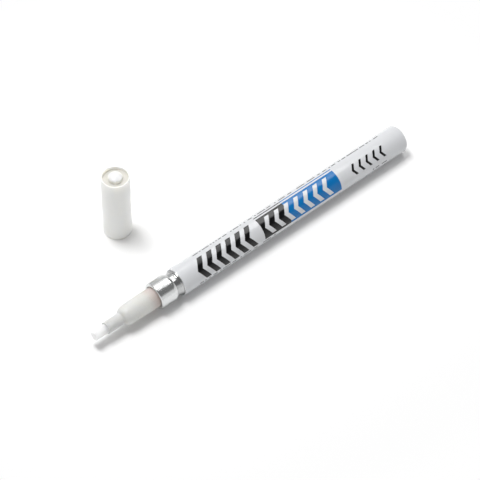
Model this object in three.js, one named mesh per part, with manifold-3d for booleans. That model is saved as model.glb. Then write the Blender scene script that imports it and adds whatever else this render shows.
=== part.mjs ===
// A fine paint marker with a sprung valve, lying beside its cap, which stands on its mouth.
// Millimetres, +Z up. The marker lies along X, with its nib towards -X and its closed end towards +X.
// The origin is on the surface that both stand on, under the middle of marker and cap together.
//
// Places along the marker are counted from the tip of the nib, and places in the cap from its mouth.

import * as THREE from "three";
import { mergeVertices } from "three/addons/utils/BufferGeometryUtils.js";
import Module from "manifold-3d";

const wasm = await Module();
wasm.setup();

// Barrel: a drawn aluminium cup, open at the front
const barrelDiameter = 10.6;
const barrelLength = 106.2;
const barrelWall = 0.4;
const barrelEndWall = 0.7;
const barrelEndRadius = 1.5;
const tailCrown = 0.25;
const tailFaceDiameter = 5.0;

// Ferrule: the bare collar, its rolled groove and the skirt that goes into the barrel
const collarStep = 0.2;
const collarLength = 7.4;
const collarShoulder = 0.8;
const shoulderDrop = 0.55;
const shoulderFoot = 0.2;
const ferruleWall = 0.3;
const lipBend = 0.45;
const collarBend = 0.65;
const lipTurn = 1.2;
const grooveLength = 1.9;
const grooveDepth = 0.4;
const grooveSide = 0.6;
const skirtLength = 9.6;
const sealPlace = 4.6;
const sealGrooveDepth = 0.6;
const sealGrooveLength = 0.8;
const sealGrooveSide = 0.8;

// Nose: the translucent moulding that holds the nib
const tubeLength = 6.5;
const tubeWall = 0.3;
const tubeEdge = 0.3;
const shoulderLength = 3.0;
const noseLength = 11.6;
const noseDraft = 0.13;
const noseWall = 0.8;
const noseFloor = 1.0;
const flangeHeight = 0.88;
const gasketThickness = 0.9;
const gasketInset = 0.15;
const neckLength = 10.0;
const neckWall = 0.7;
const lockRamp = 0.5;
const throatDiameter = 4.2;
const throatLength = 1.1;
const ribCount = 6;
const ribThickness = 0.55;
const ribLength = 7.5;

// Nib and valve
const nibDiameter = 3.6;
const nibExposed = 5.3;
const nibLength = 22.0;
const nibEdge = 0.4;
const nibTravel = 1.5;
const seatThickness = 1.5;
const seatBoreDiameter = 2.6;
const stemDiameter = 1.5;
const dishDiameter = 3.0;
const dishThickness = 0.9;
const headThickness = 1.0;
const headNose = 0.5;
const caseWall = 0.55;
const caseFloor = 0.8;
const caseFlangeThickness = 0.8;
const caseWindowCount = 4;
const caseWindowLength = 2.6;
const caseWindowWidth = 1.7;
const casePortDiameter = 2.0;
const springWire = 0.36;
const springLength = 11.4;
const springTurns = 8;

// Mixing ball
const ballDiameter = 6.0;
const ballPlace = 96.0;

// Cap
const capStep = 0.1;
const capDraft = 0.05;
const capWall = 0.9;
const capRimRadius = 0.25;
const capRimWidth = 0.5;
const capRecess = 1.25;
const capCrownRise = 0.9;
const capCrownWall = 0.6;
const capCrownBend = 1.0;
const capEndWall = 0.95;
const capEdge = 0.2;
const linerGrip = 2.6;
const linerFlare = 0.2;

// Where the cap stands: its axis beside the marker's axis, and its distance behind the tip of the nib
const capAside = 35.8;
const capAlong = 39.0;

// Clearances
const fit = 0.1;
const contact = 0.1;
const lipClearance = 0.12;
const headClearance = 0.4;
const pinClearance = 4.0;
const tipClearance = 1.75;
const crownClearance = 0.15;
const ballClearance = 0.15;

// How far a curve's handles reach towards the corner that it rounds, which makes it a quarter circle
const quarterRound = 0.5523;

// Facets
const roundSides = 40;
const smallSides = 28;
const ballRings = 12;
const wireSides = 6;
const wireStepsPerTurn = 12;
const arcSteps = 4;

// Places along the marker
const tubeStart = nibExposed;
const tubeEnd = tubeStart + tubeLength;
const noseStart = tubeEnd + shoulderLength;
const collarStart = noseStart + noseLength;
const grooveStart = collarStart + collarLength;
const grooveEnd = grooveStart + grooveLength;
const barrelStart = grooveEnd + grooveSide + contact;
const barrelEnd = barrelStart + barrelLength;
const skirtEnd = barrelStart + skirtLength;
const sealStart = barrelStart + sealPlace;
const flangeStart = collarStart + lipTurn + contact;
const shoulderFace = grooveStart - shoulderFoot;
const gasketEnd = shoulderFace - ferruleWall - contact;
const gasketStart = gasketEnd - gasketThickness;
const flangeEnd = gasketStart - contact;
const lockStart = grooveEnd + grooveSide + fit;
const neckEnd = flangeEnd + neckLength;
const nibEnd = nibLength;
const pocketStart = flangeEnd + throatLength + fit;
const seatStart = pocketStart + contact;
const seatEnd = seatStart + seatThickness;
const headStart = seatEnd + contact;
const headEnd = headStart + headThickness;
const caseStart = seatEnd + contact;
const springStart = headEnd + contact;
const springEnd = springStart + springLength;
const caseEnd = springEnd + contact + caseFloor;
const pinEnd = springEnd - nibTravel - pinClearance;
const caseFlangeStart = neckEnd + contact;
const caseFlangeEnd = caseFlangeStart + caseFlangeThickness;

// Radii across the marker, each from what it fits in
const barrelRadius = barrelDiameter / 2;
const barrelBore = barrelRadius - barrelWall;
const skirtRadius = barrelBore - fit;
const grooveRadius = skirtRadius - grooveDepth;
const sealGrooveRadius = skirtRadius - sealGrooveDepth;
const collarRadius = barrelRadius - collarStep;
const flangeRadius = collarRadius - ferruleWall - fit;
const noseRearRadius = flangeRadius - flangeHeight;
const noseFrontRadius = noseRearRadius - noseDraft;
const lipRadius = noseRearRadius + lipClearance;
const waistRadius = grooveRadius - ferruleWall - fit;
const neckRadius = sealGrooveRadius - ferruleWall - fit;
const lockRadius = skirtRadius - ferruleWall - fit;
const pocketRadius = neckRadius - neckWall;
const nibRadius = nibDiameter / 2;
const nibBore = nibRadius + fit;
const tubeRadius = nibBore + tubeWall;
const throatRadius = throatDiameter / 2;
const caseRadius = pocketRadius - fit;
const caseBore = caseRadius - caseWall;
const caseFlangeRadius = neckRadius;
const stemRadius = stemDiameter / 2;
const headRadius = caseBore - headClearance;
const springRadius = headRadius - springWire / 2;

// Cap sizes: it covers the nose, its mouth against the collar, with the nib's tip under its crown
const crownTop = collarStart + tipClearance + capCrownWall;
const capHeight = crownTop - capCrownRise;
const capMouthRadius = barrelRadius - capStep;
const capTopRadius = capMouthRadius - capDraft;
const capBore = capMouthRadius - capWall;
const capFloor = capHeight - capRecess;
const capCeiling = capFloor - capEndWall;
const crownHollow = nibRadius + crownClearance;
const crownRadius = crownHollow + capCrownWall;
const linerStart = noseLength - linerGrip;
const linerEnd = capCeiling - contact;
const linerRadius = capBore - fit;
const linerBore = THREE.MathUtils.lerp(noseFrontRadius, noseRearRadius, linerGrip / noseLength) + fit;

// Whole object
const markerLength = barrelEnd;
const axisAside = -(capAside + capMouthRadius - barrelRadius) / 2;

// Materials
const whiteLacquer = new THREE.MeshStandardMaterial({ color: 0xf1f2f3, roughness: 0.3, metalness: 0.1 });
const bareAluminium = new THREE.MeshStandardMaterial({ color: 0xc9cbcc, roughness: 0.22, metalness: 1 });
const clearedPlastic = new THREE.MeshStandardMaterial({ color: 0xd3d3cc, roughness: 0.4, metalness: 0 });
const capPlastic = new THREE.MeshStandardMaterial({ color: 0xd9d8d2, roughness: 0.45, metalness: 0 });
const linerPlastic = new THREE.MeshStandardMaterial({ color: 0xe8e8e4, roughness: 0.5, metalness: 0 });
const nibFibre = new THREE.MeshStandardMaterial({ color: 0xf4f4f1, roughness: 0.9, metalness: 0 });
const valvePlastic = new THREE.MeshStandardMaterial({ color: 0xe2e4e2, roughness: 0.5, metalness: 0 });
const blackRubber = new THREE.MeshStandardMaterial({ color: 0x2a2a2b, roughness: 0.8, metalness: 0 });
const springSteel = new THREE.MeshStandardMaterial({ color: 0x9da0a3, roughness: 0.3, metalness: 1 });
const ballSteel = new THREE.MeshStandardMaterial({ color: 0xb4b7ba, roughness: 0.15, metalness: 1 });

// Turns an outline round the marker's axis. The outline is drawn as distance along and radius, with the
// outer surface running backwards and the inner one forwards. It closes itself unless it ends on the axis.
function turned(outline, sides = roundSides) {
  const corners = outline.getPoints(arcSteps);
  const points = corners.map((corner) => new THREE.Vector2(Math.max(corner.y, 0), corner.x));
  const closesOnAxis = points[0].x === 0 && points[points.length - 1].x === 0;
  if (!closesOnAxis) points.push(points[0].clone());
  return new THREE.LatheGeometry(points, sides).rotateZ(-Math.PI / 2);
}

// The same for the cap, whose axis stands upright
function turnedUpright(outline, sides = roundSides) {
  return turned(outline, sides).rotateY(-Math.PI / 2);
}

// Carries a line on round a corner, in a quarter of a circle or an ellipse, to the given end
function roundTo(line, cornerAlong, cornerRadius, endAlong, endRadius) {
  const { x, y } = line.currentPoint;
  const towards = (from, corner) => THREE.MathUtils.lerp(from, corner, quarterRound);
  line.bezierCurveTo(
    towards(x, cornerAlong), towards(y, cornerRadius),
    towards(endAlong, cornerAlong), towards(endRadius, cornerRadius),
    endAlong, endRadius,
  );
}

// Carries a line on to another radius in one soft step, level at its start and end
function stepTo(line, endAlong, endRadius) {
  const { x, y } = line.currentPoint;
  const middle = (x + endAlong) / 2;
  line.bezierCurveTo(middle, y, middle, endRadius, endAlong, endRadius);
}

// The outline of sheet metal: its outer line, and the same line set in by the wall
function sheet(outerLine, wall) {
  const outer = outerLine.getPoints(arcSteps);
  const inner = outer.map((point, i) => {
    const before = outer[Math.max(i - 1, 0)];
    const after = outer[Math.min(i + 1, outer.length - 1)];
    const arriving = (i > 0 ? point.clone().sub(before) : after.clone().sub(point)).normalize();
    const leaving = (i < outer.length - 1 ? after.clone().sub(point) : arriving.clone()).normalize();
    const inwards = new THREE.Vector2(arriving.y + leaving.y, -arriving.x - leaving.x).normalize();
    const mitre = wall / inwards.dot(new THREE.Vector2(arriving.y, -arriving.x));
    return point.clone().addScaledVector(inwards, mitre);
  });
  return new THREE.Path([...outer, ...inner.reverse()]);
}

// Booleans
function solid(geometry) {
  const bare = geometry.clone();
  bare.deleteAttribute("normal");
  bare.deleteAttribute("uv");
  const merged = mergeVertices(bare, 1e-4);
  const index = merged.index.array;
  const kept = [];
  for (let i = 0; i < index.length; i += 3) {
    const [a, b, c] = index.slice(i, i + 3);
    if (a !== b && b !== c && c !== a) kept.push(a, b, c);
  }
  const vertProperties = Float32Array.from(merged.attributes.position.array);
  return new wasm.Manifold(new wasm.Mesh({ numProp: 3, vertProperties, triVerts: Uint32Array.from(kept) }));
}

function geometryOf(manifold) {
  const { vertProperties, triVerts } = manifold.getMesh();
  const geometry = new THREE.BufferGeometry();
  geometry.setAttribute("position", new THREE.BufferAttribute(vertProperties, 3));
  geometry.setIndex(new THREE.BufferAttribute(triVerts, 1));
  geometry.computeVertexNormals();
  return geometry;
}

// Copies of a shape at even steps round the marker's axis
function roundTheAxis(geometry, count) {
  return Array.from({ length: count }, (_, i) => {
    return solid(geometry.clone().rotateX((i * 2 * Math.PI) / count));
  });
}

// Marker pieces

function barrelGeometry() {
  const innerEnd = barrelEnd - barrelEndWall;
  const innerCorner = barrelEndRadius - barrelWall;
  const crownEdge = barrelEnd - tailCrown;
  const frontEdge = barrelWall / 3;
  const cup = new THREE.Path();
  cup.moveTo(innerEnd, 0);
  cup.lineTo(innerEnd, barrelBore - innerCorner);
  roundTo(cup, innerEnd, barrelBore, innerEnd - innerCorner, barrelBore);
  cup.lineTo(barrelStart, barrelBore);
  cup.lineTo(barrelStart, barrelRadius - frontEdge);
  cup.lineTo(barrelStart + frontEdge, barrelRadius);
  cup.lineTo(crownEdge - barrelEndRadius, barrelRadius);
  roundTo(cup, crownEdge, barrelRadius, crownEdge, barrelRadius - barrelEndRadius);
  cup.lineTo(barrelEnd, tailFaceDiameter / 2);
  cup.lineTo(barrelEnd, 0);
  return turned(cup);
}

// The lip is turned in and back round the nose. The sheet then runs over the collar, down into the rolled
// groove, and on as the skirt, which has a second groove for the seal.
function ferruleGeometry() {
  const line = new THREE.Path();
  line.moveTo(collarStart + lipTurn, lipRadius);
  line.lineTo(collarStart + lipBend, lipRadius);
  roundTo(line, collarStart, lipRadius, collarStart, lipRadius + lipBend);
  line.lineTo(collarStart, collarRadius - collarBend);
  roundTo(line, collarStart, collarRadius, collarStart + collarBend, collarRadius);
  line.lineTo(shoulderFace - collarShoulder, collarRadius);
  roundTo(line, shoulderFace, collarRadius, shoulderFace, collarRadius - shoulderDrop);
  roundTo(line, shoulderFace, grooveRadius, grooveStart, grooveRadius);
  line.lineTo(grooveEnd, grooveRadius);
  stepTo(line, grooveEnd + grooveSide, skirtRadius);
  line.lineTo(sealStart, skirtRadius);
  line.lineTo(sealStart + sealGrooveSide, sealGrooveRadius);
  line.lineTo(sealStart + sealGrooveSide + sealGrooveLength, sealGrooveRadius);
  line.lineTo(sealStart + 2 * sealGrooveSide + sealGrooveLength, skirtRadius);
  line.lineTo(skirtEnd, skirtRadius);
  return turned(sheet(line, ferruleWall));
}

// A round rubber ring in the skirt's groove, against the bore of the barrel
function barrelSealGeometry() {
  const section = (barrelBore - sealGrooveRadius) / 2 - contact;
  const middle = sealStart + sealGrooveSide + sealGrooveLength / 2;
  const ring = new THREE.Path();
  ring.absarc(middle, sealGrooveRadius + contact + section, section, Math.PI, -Math.PI, true);
  return turned(ring);
}

// A flat rubber ring between the holder's flange and the shoulder of the collar
function holderGasketGeometry() {
  const inner = waistRadius + fit;
  const outer = flangeRadius - gasketInset;
  const ring = new THREE.Path();
  ring.moveTo(gasketStart, inner);
  ring.lineTo(gasketStart, outer);
  ring.lineTo(gasketEnd, outer);
  ring.lineTo(gasketEnd, inner);
  return turned(ring);
}

// The nose: a narrow tube, a round shoulder and a wide body outside; inside, a bore for the nib, a ribbed
// chamber, a throat and the pocket for the valve. The flange is held behind the lip of the collar, and the
// rolled groove locks into the waist of the neck.
function tipHolderGeometry() {
  const chamberStart = noseStart + noseFloor;
  const chamberEnd = flangeEnd;
  const chamberFront = noseFrontRadius - noseWall;
  const outline = new THREE.Path();
  outline.moveTo(tubeStart, nibBore);
  outline.lineTo(tubeStart, tubeRadius - tubeEdge / 2);
  outline.lineTo(tubeStart + tubeEdge, tubeRadius);
  outline.lineTo(tubeEnd, tubeRadius);
  roundTo(outline, tubeEnd, noseFrontRadius, noseStart, noseFrontRadius);
  outline.lineTo(collarStart, noseRearRadius);
  outline.lineTo(flangeStart, noseRearRadius);
  outline.lineTo(flangeStart, flangeRadius);
  outline.lineTo(flangeEnd, flangeRadius);
  outline.lineTo(flangeEnd, waistRadius);
  outline.lineTo(lockStart, waistRadius);
  outline.lineTo(lockStart + lockRamp, lockRadius);
  outline.lineTo(sealStart - lockRamp - contact, lockRadius);
  outline.lineTo(sealStart - contact, neckRadius);
  outline.lineTo(neckEnd, neckRadius);
  outline.lineTo(neckEnd, pocketRadius);
  outline.lineTo(pocketStart, pocketRadius);
  outline.lineTo(pocketStart, throatRadius);
  outline.lineTo(chamberEnd, throatRadius);
  outline.lineTo(chamberEnd - noseFloor, chamberFront);
  outline.lineTo(chamberStart, chamberFront);
  outline.lineTo(chamberStart - (chamberFront - nibBore), nibBore);
  const shell = solid(turned(outline));

  const ribReach = chamberFront + noseWall / 2 - nibBore;
  const rib = new THREE.BoxGeometry(ribLength, ribThickness, ribReach);
  rib.translate(chamberStart + ribLength / 2, 0, nibBore + ribReach / 2);
  return geometryOf(roundTheAxis(rib, ribCount).reduce((whole, one) => whole.add(one), shell));
}

function nibGeometry() {
  const rod = new THREE.Path();
  rod.moveTo(0, 0);
  rod.lineTo(0, nibRadius - nibEdge);
  roundTo(rod, 0, nibRadius, nibEdge, nibRadius);
  rod.lineTo(nibEnd - nibEdge, nibRadius);
  rod.lineTo(nibEnd, nibRadius - nibEdge);
  rod.lineTo(nibEnd, 0);
  return turned(rod, smallSides);
}

// Valve pieces

function valveSeatGeometry() {
  const bore = seatBoreDiameter / 2;
  const ring = new THREE.Path();
  ring.moveTo(seatStart, bore);
  ring.lineTo(seatStart, caseRadius);
  ring.lineTo(seatEnd, caseRadius);
  ring.lineTo(seatEnd, bore);
  return turned(ring, smallSides);
}

// The rod's dish is pushed by the nib. Its head closes the seat from behind, and its pin guides the spring.
function valveRodGeometry() {
  const dishStart = nibEnd + contact;
  const dishEnd = dishStart + dishThickness;
  const rod = new THREE.Path();
  rod.moveTo(dishStart, 0);
  rod.lineTo(dishStart, dishDiameter / 2);
  rod.lineTo(dishEnd, dishDiameter / 2);
  rod.lineTo(dishEnd + dishThickness, stemRadius);
  rod.lineTo(headStart - headNose, stemRadius);
  rod.lineTo(headStart, seatBoreDiameter / 2 - contact);
  rod.lineTo(headStart, headRadius);
  rod.lineTo(headEnd, headRadius);
  rod.lineTo(headEnd, stemRadius);
  rod.lineTo(pinEnd, stemRadius);
  rod.lineTo(pinEnd, 0);
  return turned(rod, smallSides);
}

// The case holds seat and spring. It is pushed into the holder up to its flange, and the paint comes in
// through the windows behind the flange and the port in its floor.
function valveCaseGeometry() {
  const cup = new THREE.Path();
  cup.moveTo(caseEnd - caseFloor, 0);
  cup.lineTo(caseEnd - caseFloor, caseBore);
  cup.lineTo(caseStart, caseBore);
  cup.lineTo(caseStart, caseRadius);
  cup.lineTo(caseFlangeStart, caseRadius);
  cup.lineTo(caseFlangeStart, caseFlangeRadius);
  cup.lineTo(caseFlangeEnd, caseFlangeRadius);
  cup.lineTo(caseFlangeEnd, caseRadius);
  cup.lineTo(caseEnd - caseFloor, caseRadius);
  cup.lineTo(caseEnd, caseBore);
  cup.lineTo(caseEnd, 0);
  const whole = solid(turned(cup, smallSides));

  const windowMiddle = (caseFlangeEnd + caseEnd - caseFloor) / 2;
  const windowCut = new THREE.BoxGeometry(caseWindowLength, caseWindowWidth, 2 * caseRadius);
  windowCut.translate(windowMiddle, 0, caseRadius + stemRadius);
  const portRadius = casePortDiameter / 2;
  const port = new THREE.CylinderGeometry(portRadius, portRadius, 3 * caseFloor, smallSides);
  port.rotateZ(Math.PI / 2).translate(caseEnd, 0, 0);
  const cuts = [...roundTheAxis(windowCut, caseWindowCount), solid(port)];
  return geometryOf(cuts.reduce((left, cut) => left.subtract(cut), whole));
}

class Helix extends THREE.Curve {
  constructor(start, end, radius, turns) {
    super();
    Object.assign(this, { start, end, radius, turns });
  }

  getPoint(t, target = new THREE.Vector3()) {
    const angle = t * this.turns * 2 * Math.PI;
    const along = THREE.MathUtils.lerp(this.start, this.end, t);
    return target.set(along, this.radius * Math.cos(angle), this.radius * Math.sin(angle));
  }
}

function valveSpringGeometry() {
  const wireRadius = springWire / 2;
  const start = springStart + wireRadius;
  const end = springEnd - wireRadius;
  const section = new THREE.Shape();
  section.absarc(0, 0, wireRadius, 0, 2 * Math.PI, false);
  return new THREE.ExtrudeGeometry(section, {
    curveSegments: wireSides / 2,
    steps: springTurns * wireStepsPerTurn,
    extrudePath: new Helix(start, end, springRadius, springTurns),
  });
}

function mixingBallGeometry() {
  const radius = ballDiameter / 2;
  const ball = new THREE.SphereGeometry(radius, 2 * ballRings, ballRings);
  return ball.translate(ballPlace, 0, radius + ballClearance - barrelBore);
}

// Cap pieces

// The closed end is recessed inside a thin rim, and a round crown stands in its middle to clear the nib
function capShellGeometry() {
  const recessRadius = capTopRadius - capRimWidth;
  const crownInside = crownTop - capCrownWall;
  const outline = new THREE.Path();
  outline.moveTo(crownInside, 0);
  outline.lineTo(crownInside, crownHollow - capEdge);
  outline.lineTo(crownInside - capEdge, crownHollow);
  outline.lineTo(capCeiling, crownHollow);
  outline.lineTo(capCeiling, capBore - capEdge);
  outline.lineTo(capCeiling - capEdge, capBore);
  outline.lineTo(capEdge, capBore);
  outline.lineTo(0, capBore + capEdge);
  outline.lineTo(0, capMouthRadius - capEdge);
  outline.lineTo(capEdge, capMouthRadius);
  outline.lineTo(capHeight - capRimRadius, capTopRadius);
  roundTo(outline, capHeight, capTopRadius, capHeight, capTopRadius - capRimRadius);
  outline.lineTo(capHeight, recessRadius + capEdge / 2);
  outline.lineTo(capHeight - capEdge / 2, recessRadius);
  outline.lineTo(capFloor + capEdge, recessRadius);
  outline.lineTo(capFloor, recessRadius - capEdge);
  outline.lineTo(capFloor, crownRadius);
  outline.lineTo(crownTop - capCrownBend, crownRadius);
  roundTo(outline, crownTop, crownRadius, crownTop, 0);
  return turnedUpright(outline);
}

// The soft sleeve inside, open at both ends, which grips and seals the nose. Its mouth is flared.
function capLinerGeometry() {
  const sleeve = new THREE.Path();
  sleeve.moveTo(linerStart, linerBore + linerFlare);
  sleeve.lineTo(linerStart, linerRadius - linerFlare / 2);
  sleeve.lineTo(linerStart + linerFlare, linerRadius);
  sleeve.lineTo(linerEnd - linerFlare, linerRadius);
  sleeve.lineTo(linerEnd, linerRadius - linerFlare);
  sleeve.lineTo(linerEnd, linerBore);
  sleeve.lineTo(linerStart + linerFlare, linerBore);
  return turnedUpright(sleeve);
}

// Assembly

function piece(name, geometry, material) {
  const mesh = new THREE.Mesh(geometry, material);
  mesh.name = name;
  return mesh;
}

const valve = new THREE.Group();
valve.add(
  piece("valve_seat", valveSeatGeometry(), blackRubber),
  piece("valve_rod", valveRodGeometry(), valvePlastic),
  piece("valve_spring", valveSpringGeometry(), springSteel),
  piece("valve_case", valveCaseGeometry(), valvePlastic),
);

const marker = new THREE.Group();
marker.position.set(-markerLength / 2, axisAside, barrelRadius);
marker.add(
  piece("barrel", barrelGeometry(), whiteLacquer),
  piece("front_ferrule", ferruleGeometry(), bareAluminium),
  piece("barrel_seal", barrelSealGeometry(), blackRubber),
  piece("holder_gasket", holderGasketGeometry(), blackRubber),
  piece("tip_holder", tipHolderGeometry(), clearedPlastic),
  piece("nib", nibGeometry(), nibFibre),
  piece("mixing_ball", mixingBallGeometry(), ballSteel),
  valve,
);

const cap = new THREE.Group();
cap.position.set(capAlong - markerLength / 2, axisAside + capAside, 0);
cap.add(
  piece("cap_shell", capShellGeometry(), capPlastic),
  piece("cap_liner", capLinerGeometry(), linerPlastic),
);

const paintMarker = new THREE.Group();
paintMarker.add(marker, cap);

export default paintMarker;
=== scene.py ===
"""The finished look of a paint marker lying beside its cap.

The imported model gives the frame: where each piece is, and what moves with what. This file replaces
the pieces that show, and the spring, with finer ones. It gives every piece its finish, and adds the
floor, the light and the camera.

Sizes are in metres, except in the finishes, whose places and patterns are in millimetres. Places
along the marker are counted from the tip of the nib, and heights in the cap from its mouth.
"""

import math

import bmesh
import bpy
from bpy.props import FloatProperty, FloatVectorProperty, IntProperty, PointerProperty
from bpy.types import Operator, Panel, PropertyGroup
from mathutils import Matrix, Vector


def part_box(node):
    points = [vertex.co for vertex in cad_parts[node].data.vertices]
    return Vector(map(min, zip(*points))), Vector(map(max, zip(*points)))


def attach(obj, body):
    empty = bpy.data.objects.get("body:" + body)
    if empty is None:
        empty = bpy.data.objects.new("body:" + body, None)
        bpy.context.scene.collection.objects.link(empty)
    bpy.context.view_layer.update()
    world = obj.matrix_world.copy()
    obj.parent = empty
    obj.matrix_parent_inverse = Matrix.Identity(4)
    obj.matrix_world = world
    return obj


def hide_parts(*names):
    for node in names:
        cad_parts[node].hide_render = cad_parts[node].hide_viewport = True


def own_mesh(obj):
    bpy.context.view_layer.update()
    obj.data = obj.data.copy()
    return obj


bl_info = {
    "name": "Paint Marker",
    "version": (1, 0, 0),
    "blender": (4, 5, 0),
    "location": "3D View > Sidebar > Paint Marker",
    "description": "Builds the finished look of a paint marker and its cap on the packed frame",
    "category": "Object",
}

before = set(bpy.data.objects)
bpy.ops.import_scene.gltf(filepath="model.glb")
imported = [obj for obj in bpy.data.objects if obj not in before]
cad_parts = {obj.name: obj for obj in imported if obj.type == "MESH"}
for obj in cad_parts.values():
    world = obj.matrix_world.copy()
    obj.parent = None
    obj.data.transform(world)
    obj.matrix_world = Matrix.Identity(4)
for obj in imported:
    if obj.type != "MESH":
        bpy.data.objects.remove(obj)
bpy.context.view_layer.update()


def middle(node):
    low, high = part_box(node)
    return (low + high) / 2


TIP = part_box("nib")[0].x
MARKER_AXIS = Vector((TIP, middle("barrel").y, middle("barrel").z))
CAP_AXIS = Vector((middle("cap_shell").x, middle("cap_shell").y, 0))


def along(node):
    """Where a node starts and ends along the marker."""
    low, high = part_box(node)
    return low.x - TIP, high.x - TIP


def reach(node):
    """The largest radius of a round node."""
    low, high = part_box(node)
    return (high.y - low.y) / 2


def length(name, description, default):
    return FloatProperty(
        name=name, description=description, default=default, unit="LENGTH", precision=5
    )


def share(name, description, default):
    return FloatProperty(
        name=name, description=description, default=default, subtype="FACTOR", min=0, max=1
    )


def colour(name, description, default):
    return FloatVectorProperty(
        name=name, description=description, default=default, subtype="COLOR", size=3, min=0, max=1
    )


def angle(name, description, degrees):
    return FloatProperty(
        name=name, description=description, default=math.radians(degrees), subtype="ANGLE"
    )


def amount(name, description, default):
    return FloatProperty(name=name, description=description, default=default, min=0)


def number(name, description, default):
    return IntProperty(name=name, description=description, default=default, min=1)


# Sizes and colours


class BarrelSettings(PropertyGroup):
    wall: length("Wall", "Thickness of the drawn cup", 0.0004)
    end_wall: length("End wall", "Thickness of the closed end", 0.0007)
    end_round: length("End round", "Rounding of the closed end", 0.0015)
    end_crown: length("End crown", "How far the middle of the closed end stands out", 0.00025)
    end_face: length("End face", "Width of the flat in the middle of the closed end", 0.005)
    mouth_round: length("Mouth round", "Rounding of the cut edge at the mouth", 0.00012)
    lacquer: colour("Lacquer", "White coat on the outside", (0.65, 0.66, 0.678))
    black: colour("Black ink", "Dark ink of the printed bands", (0.002, 0.002, 0.0025))
    blue: colour("Blue ink", "Blue ink of the printed bands", (0.0, 0.15, 0.43))


class PrintSettings(PropertyGroup):
    facing: angle("Facing", "From the barrel's top to the print's line, towards the front", 32.2)
    top: length("Top", "Upper edge of the print, from its line", -0.0034)
    bottom: length("Bottom", "Lower edge of the print, from its line", 0.0053)
    slant: amount("Slant", "How far a chevron's arms lean back", 0.62)
    band_start: length("Band start", "Where the wide black chevrons start", 0.0432)
    band_count: number("Band count", "How many there are", 6)
    band_step: length("Band step", "From one of them to the next", 0.0043)
    band_width: length("Band width", "Width of one", 0.0023)
    block_start: length("Block start", "Where the black block starts", 0.0729)
    block_change: length("Block change", "Where the blue block takes over", 0.0852)
    block_end: length("Block end", "Where the blue block ends", 0.1093)
    block_margin: length("Block margin", "Solid edge beside the pale chevrons", 0.0009)
    pale_inset: length("Pale inset", "From the black block's start to the pale chevrons", 0.0012)
    pale_count: number("Pale count", "How many pale chevrons there are", 7)
    pale_step: length("Pale step", "From one of them to the next", 0.00455)
    pale_width: length("Pale width", "Width of one", 0.0019)
    line_gap: length("Line gap", "From the blocks up to the thin line over them", 0.0007)
    line_width: length("Line width", "Width of that line", 0.0004)
    rear_start: length("Rear start", "Where the narrow chevrons start", 0.1154)
    rear_count: number("Rear count", "How many there are", 5)
    rear_step: length("Rear step", "From one of them to the next", 0.0034)
    rear_width: length("Rear width", "Width of one", 0.00105)
    rear_height: length("Rear height", "Height of one", 0.0044)


class FerruleSettings(PropertyGroup):
    wall: length("Wall", "Thickness of the sheet", 0.0003)
    collar_length: length("Collar length", "From the lip to the rolled groove", 0.0074)
    edge_round: length("Edge round", "Bend at the front of the collar", 0.00065)
    lip_round: length("Lip round", "Bend of the lip round the nose", 0.00045)
    lip_turn: length("Lip turn", "How far the lip is turned back", 0.0012)
    lip_clearance: length("Lip clearance", "Between the lip and the nose", 0.00012)
    shoulder: length("Shoulder", "Length of the round behind the collar", 0.0009)
    shoulder_drop: length("Shoulder drop", "How far the round falls before the groove", 0.00035)
    groove_depth: length("Groove depth", "From the skirt down to the rolled groove", 0.0004)
    groove_side: length("Groove side", "Where the groove rises again, before the barrel", 0.0006)
    bend: length("Bend", "Small bends of the sheet", 0.00025)
    seal_groove_depth: length("Seal groove depth", "From the skirt to the groove's bottom", 0.0006)
    seal_groove_length: length("Seal groove length", "Its bottom", 0.0008)
    seal_groove_side: length("Seal groove side", "Length of each of its slopes", 0.0008)
    skin: colour("Aluminium", "Bare sheet", (0.73, 0.74, 0.74))
    # Painted shade: how much the sheet's colour is darkened in the rolled groove
    groove_shade: share("Groove_shade", "How much darker the sheet is in the rolled groove", 0.3)


class NoseSettings(PropertyGroup):
    tube_length: length("Tube length", "The narrow tube round the nib", 0.0065)
    tube_wall: length("Tube wall", "Wall of the narrow tube", 0.0003)
    shoulder: length("Shoulder", "Length of the round shoulder", 0.0030)
    body_length: length("Body length", "The wide body, up to the collar", 0.0116)
    body_wall: length("Body wall", "Wall of the wide body", 0.0008)
    draft: length("Draft", "How much the body widens towards the collar", 0.00013)
    floor: length("Floor", "Thickness of the chamber's ends", 0.001)
    rib_count: number("Rib count", "How many guide ribs the chamber has", 6)
    rib_thickness: length("Rib thickness", "Thickness of a guide rib", 0.00055)
    flange_height: length("Flange height", "From the body up to the flange", 0.00088)
    neck_wall: length("Neck wall", "Wall of the neck round the valve", 0.0007)
    lock_ramp: length("Lock ramp", "Slopes of the ridge behind the rolled groove", 0.0005)
    throat: length("Throat", "Radius of the throat before the valve", 0.0021)
    edge_round: length("Edge round", "Rounding of the outer edges", 0.00015)
    inner_round: length("Inner round", "Rounding of the inner edges", 0.0001)
    tube_round: length("Tube round", "Rounding between tube and shoulder", 0.0003)
    shoulder_round: length("Shoulder round", "Rounding within the shoulder", 0.0004)
    body_round: length("Body round", "Rounding between shoulder and body", 0.0006)
    plastic: colour("Plastic", "Translucent moulding", (0.93, 0.93, 0.895))
    # Painted reflection and shade: the warmer, darker tone beside the collar
    collar_reflection: colour("Warm tone", "Tone that has soaked in beside the collar", (0.80, 0.68, 0.66))
    clearness: share("Clearness", "How much light goes straight through the moulding", 0.32)
    softness: length("Softness", "How far light spreads in the moulding", 0.0006)


class NibSettings(PropertyGroup):
    edge_round: length("Edge round", "Wear of the flat end's edge", 0.0004)
    fibre: colour("Fibre", "Pressed fibre", (0.89, 0.89, 0.885))
    softness: length("Softness", "How far light spreads in the fibre", 0.008)


class SpringSettings(PropertyGroup):
    wire: length("Wire", "Thickness of the wire", 0.00036)
    turns: number("Turns", "How often the wire goes round", 8)


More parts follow.
